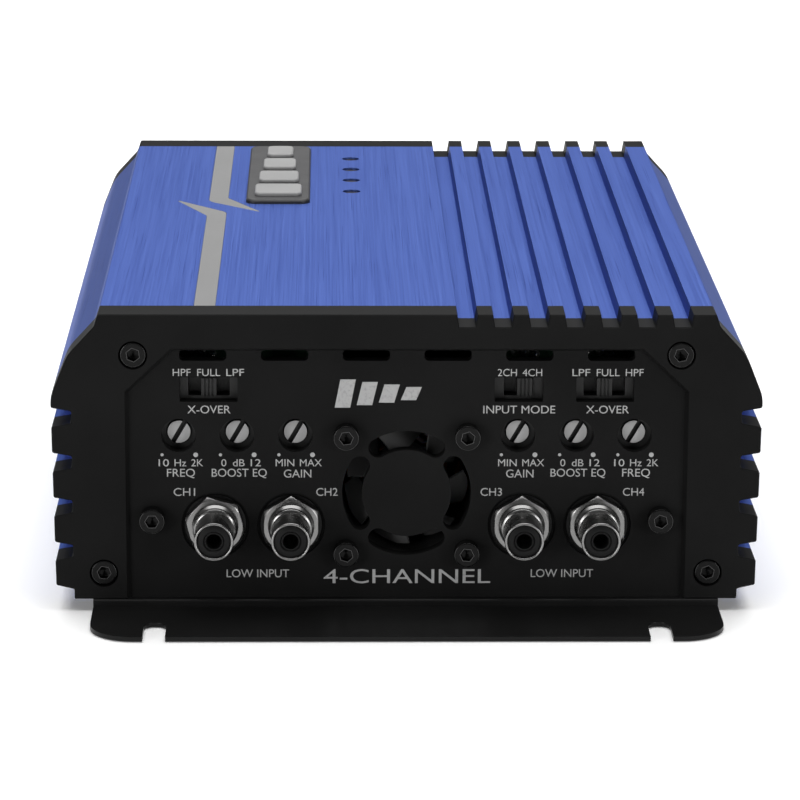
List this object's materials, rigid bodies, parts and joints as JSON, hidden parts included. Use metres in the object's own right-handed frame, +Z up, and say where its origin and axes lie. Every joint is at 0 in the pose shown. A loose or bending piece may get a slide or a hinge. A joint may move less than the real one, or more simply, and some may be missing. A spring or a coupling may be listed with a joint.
{
  "type": "car amplifier",
  "caption": "Compact in-vehicle audio amplifier: ribbed blue channel housing, black end panels, jogged flanges, phono jacks, trimmers, slide switches and a cooling fan.",
  "frame": {"origin": "bottom centre of the whole unit, on the plane that the mounting flanges rest on", "axes": "+Z up, -Y out of the control end with the phono jacks, +Y out of the terminal end, +X to the right when facing the control end"},
  "size_m": [0.152, 0.2434, 0.0675],
  "materials": {
    "blue_anodised": "brushed blue anodised",
    "black_panel": "satin black",
    "black_steel": "semi-gloss black powder coat",
    "black_screw": "black oxide",
    "black_plastic": "moulded matt",
    "nickel": "bright nickel plate",
    "dial_metal": "satin",
    "silver_inlay": "satin silver",
    "badge_dark": "dark grey",
    "badge_light": "light grey",
    "smoke_lens": "dark tinted",
    "green_board": "solder mask",
    "brass": "plain",
    "zinc_screw": "zinc plate",
    "transistor_black": "moulded epoxy",
    "insulator_grey": "silicone sheet",
    "ferrite": "sintered ferrite",
    "copper": "enamelled copper",
    "capacitor_sleeve": "shrink sleeve",
    "plain_steel": "mill finish"
  },
  "bodies": {
    "chassis": {"heatsink_housing": "blue_anodised", "front_panel": "black_panel", "rear_panel": "black_panel", "base_plate": "black_steel", "front_panel_screws": "black_screw", "rear_panel_screws": "black_screw", "fan_screws": "black_screw", "bracket_screws": "black_screw", "base_plate_screws": "black_screw", "fan_frame": "black_plastic", "rca_shells": "nickel", "rca_insulators": "black_plastic", "rca_contacts": "nickel", "rca_nuts": "nickel", "trimmer_cases": "black_plastic", "switch_cases": "black_plastic", "inlay_front": "silver_inlay", "inlay_rear": "silver_inlay", "badge_base": "badge_dark", "badge_bars": "badge_light", "led_lenses": "smoke_lens", "indicator_board": "green_board", "control_board_left": "green_board", "control_board_right": "green_board", "board_brackets": "plain_steel", "main_board": "green_board", "board_standoffs": "brass", "board_screws": "zinc_screw", "output_transistors_left": "transistor_black", "output_transistors_right": "transistor_black", "insulator_strips": "insulator_grey", "clamp_bars": "plain_steel", "clamp_screws": "zinc_screw", "transformer_core": "ferrite", "transformer_winding": "copper", "input_capacitors": "capacitor_sleeve", "rail_capacitors": "capacitor_sleeve", "output_inductors": "ferrite", "power_terminal_block": "black_plastic", "power_terminal_inserts": "nickel", "power_terminal_screws": "black_screw", "speaker_terminal_block": "black_plastic", "speaker_terminal_inserts": "nickel", "speaker_terminal_screws": "black_screw"},
    "fan": {"fan_rotor": "black_plastic"},
    "crossover_dial_left": {"crossover_trimmer_left": "dial_metal"},
    "boost_dial_left": {"boost_trimmer_left": "dial_metal"},
    "gain_dial_left": {"gain_trimmer_left": "dial_metal"},
    "gain_dial_right": {"gain_trimmer_right": "dial_metal"},
    "boost_dial_right": {"boost_trimmer_right": "dial_metal"},
    "crossover_dial_right": {"crossover_trimmer_right": "dial_metal"},
    "crossover_key_left": {"crossover_slider_left": "black_plastic"},
    "input_mode_key": {"input_mode_slider": "black_plastic"},
    "crossover_key_right": {"crossover_slider_right": "black_plastic"}
  },
  "joints": [
    {"name": "fan_spin", "type": "hinge", "parent": "chassis", "child": "fan", "pos_m": [0, -0.0905, 0.0259], "axis": [0, 1, 0], "continuous": true},
    {"name": "crossover_trimmer_left_turn", "type": "hinge", "parent": "chassis", "child": "crossover_dial_left", "pos_m": [-0.04885, -0.0931, 0.0387], "axis": [0, 1, 0], "range_deg": [0, 300]},
    {"name": "boost_trimmer_left_turn", "type": "hinge", "parent": "chassis", "child": "boost_dial_left", "pos_m": [-0.03635, -0.0931, 0.0387], "axis": [0, 1, 0], "range_deg": [0, 300]},
    {"name": "gain_trimmer_left_turn", "type": "hinge", "parent": "chassis", "child": "gain_dial_left", "pos_m": [-0.02385, -0.0931, 0.0387], "axis": [0, 1, 0], "range_deg": [0, 300]},
    {"name": "gain_trimmer_right_turn", "type": "hinge", "parent": "chassis", "child": "gain_dial_right", "pos_m": [0.02385, -0.0931, 0.0387], "axis": [0, 1, 0], "range_deg": [0, 300]},
    {"name": "boost_trimmer_right_turn", "type": "hinge", "parent": "chassis", "child": "boost_dial_right", "pos_m": [0.03635, -0.0931, 0.0387], "axis": [0, 1, 0], "range_deg": [0, 300]},
    {"name": "crossover_trimmer_right_turn", "type": "hinge", "parent": "chassis", "child": "crossover_dial_right", "pos_m": [0.04885, -0.0931, 0.0387], "axis": [0, 1, 0], "range_deg": [0, 300]},
    {"name": "crossover_slider_left_slide", "type": "slide", "parent": "chassis", "child": "crossover_key_left", "axis": [1, 0, 0], "range_m": [-0.0027, 0.0027]},
    {"name": "input_mode_slider_slide", "type": "slide", "parent": "chassis", "child": "input_mode_key", "axis": [1, 0, 0], "range_m": [-0.0027, 0]},
    {"name": "crossover_slider_right_slide", "type": "slide", "parent": "chassis", "child": "crossover_key_right", "axis": [1, 0, 0], "range_m": [-0.0027, 0.0027]}
  ]
}
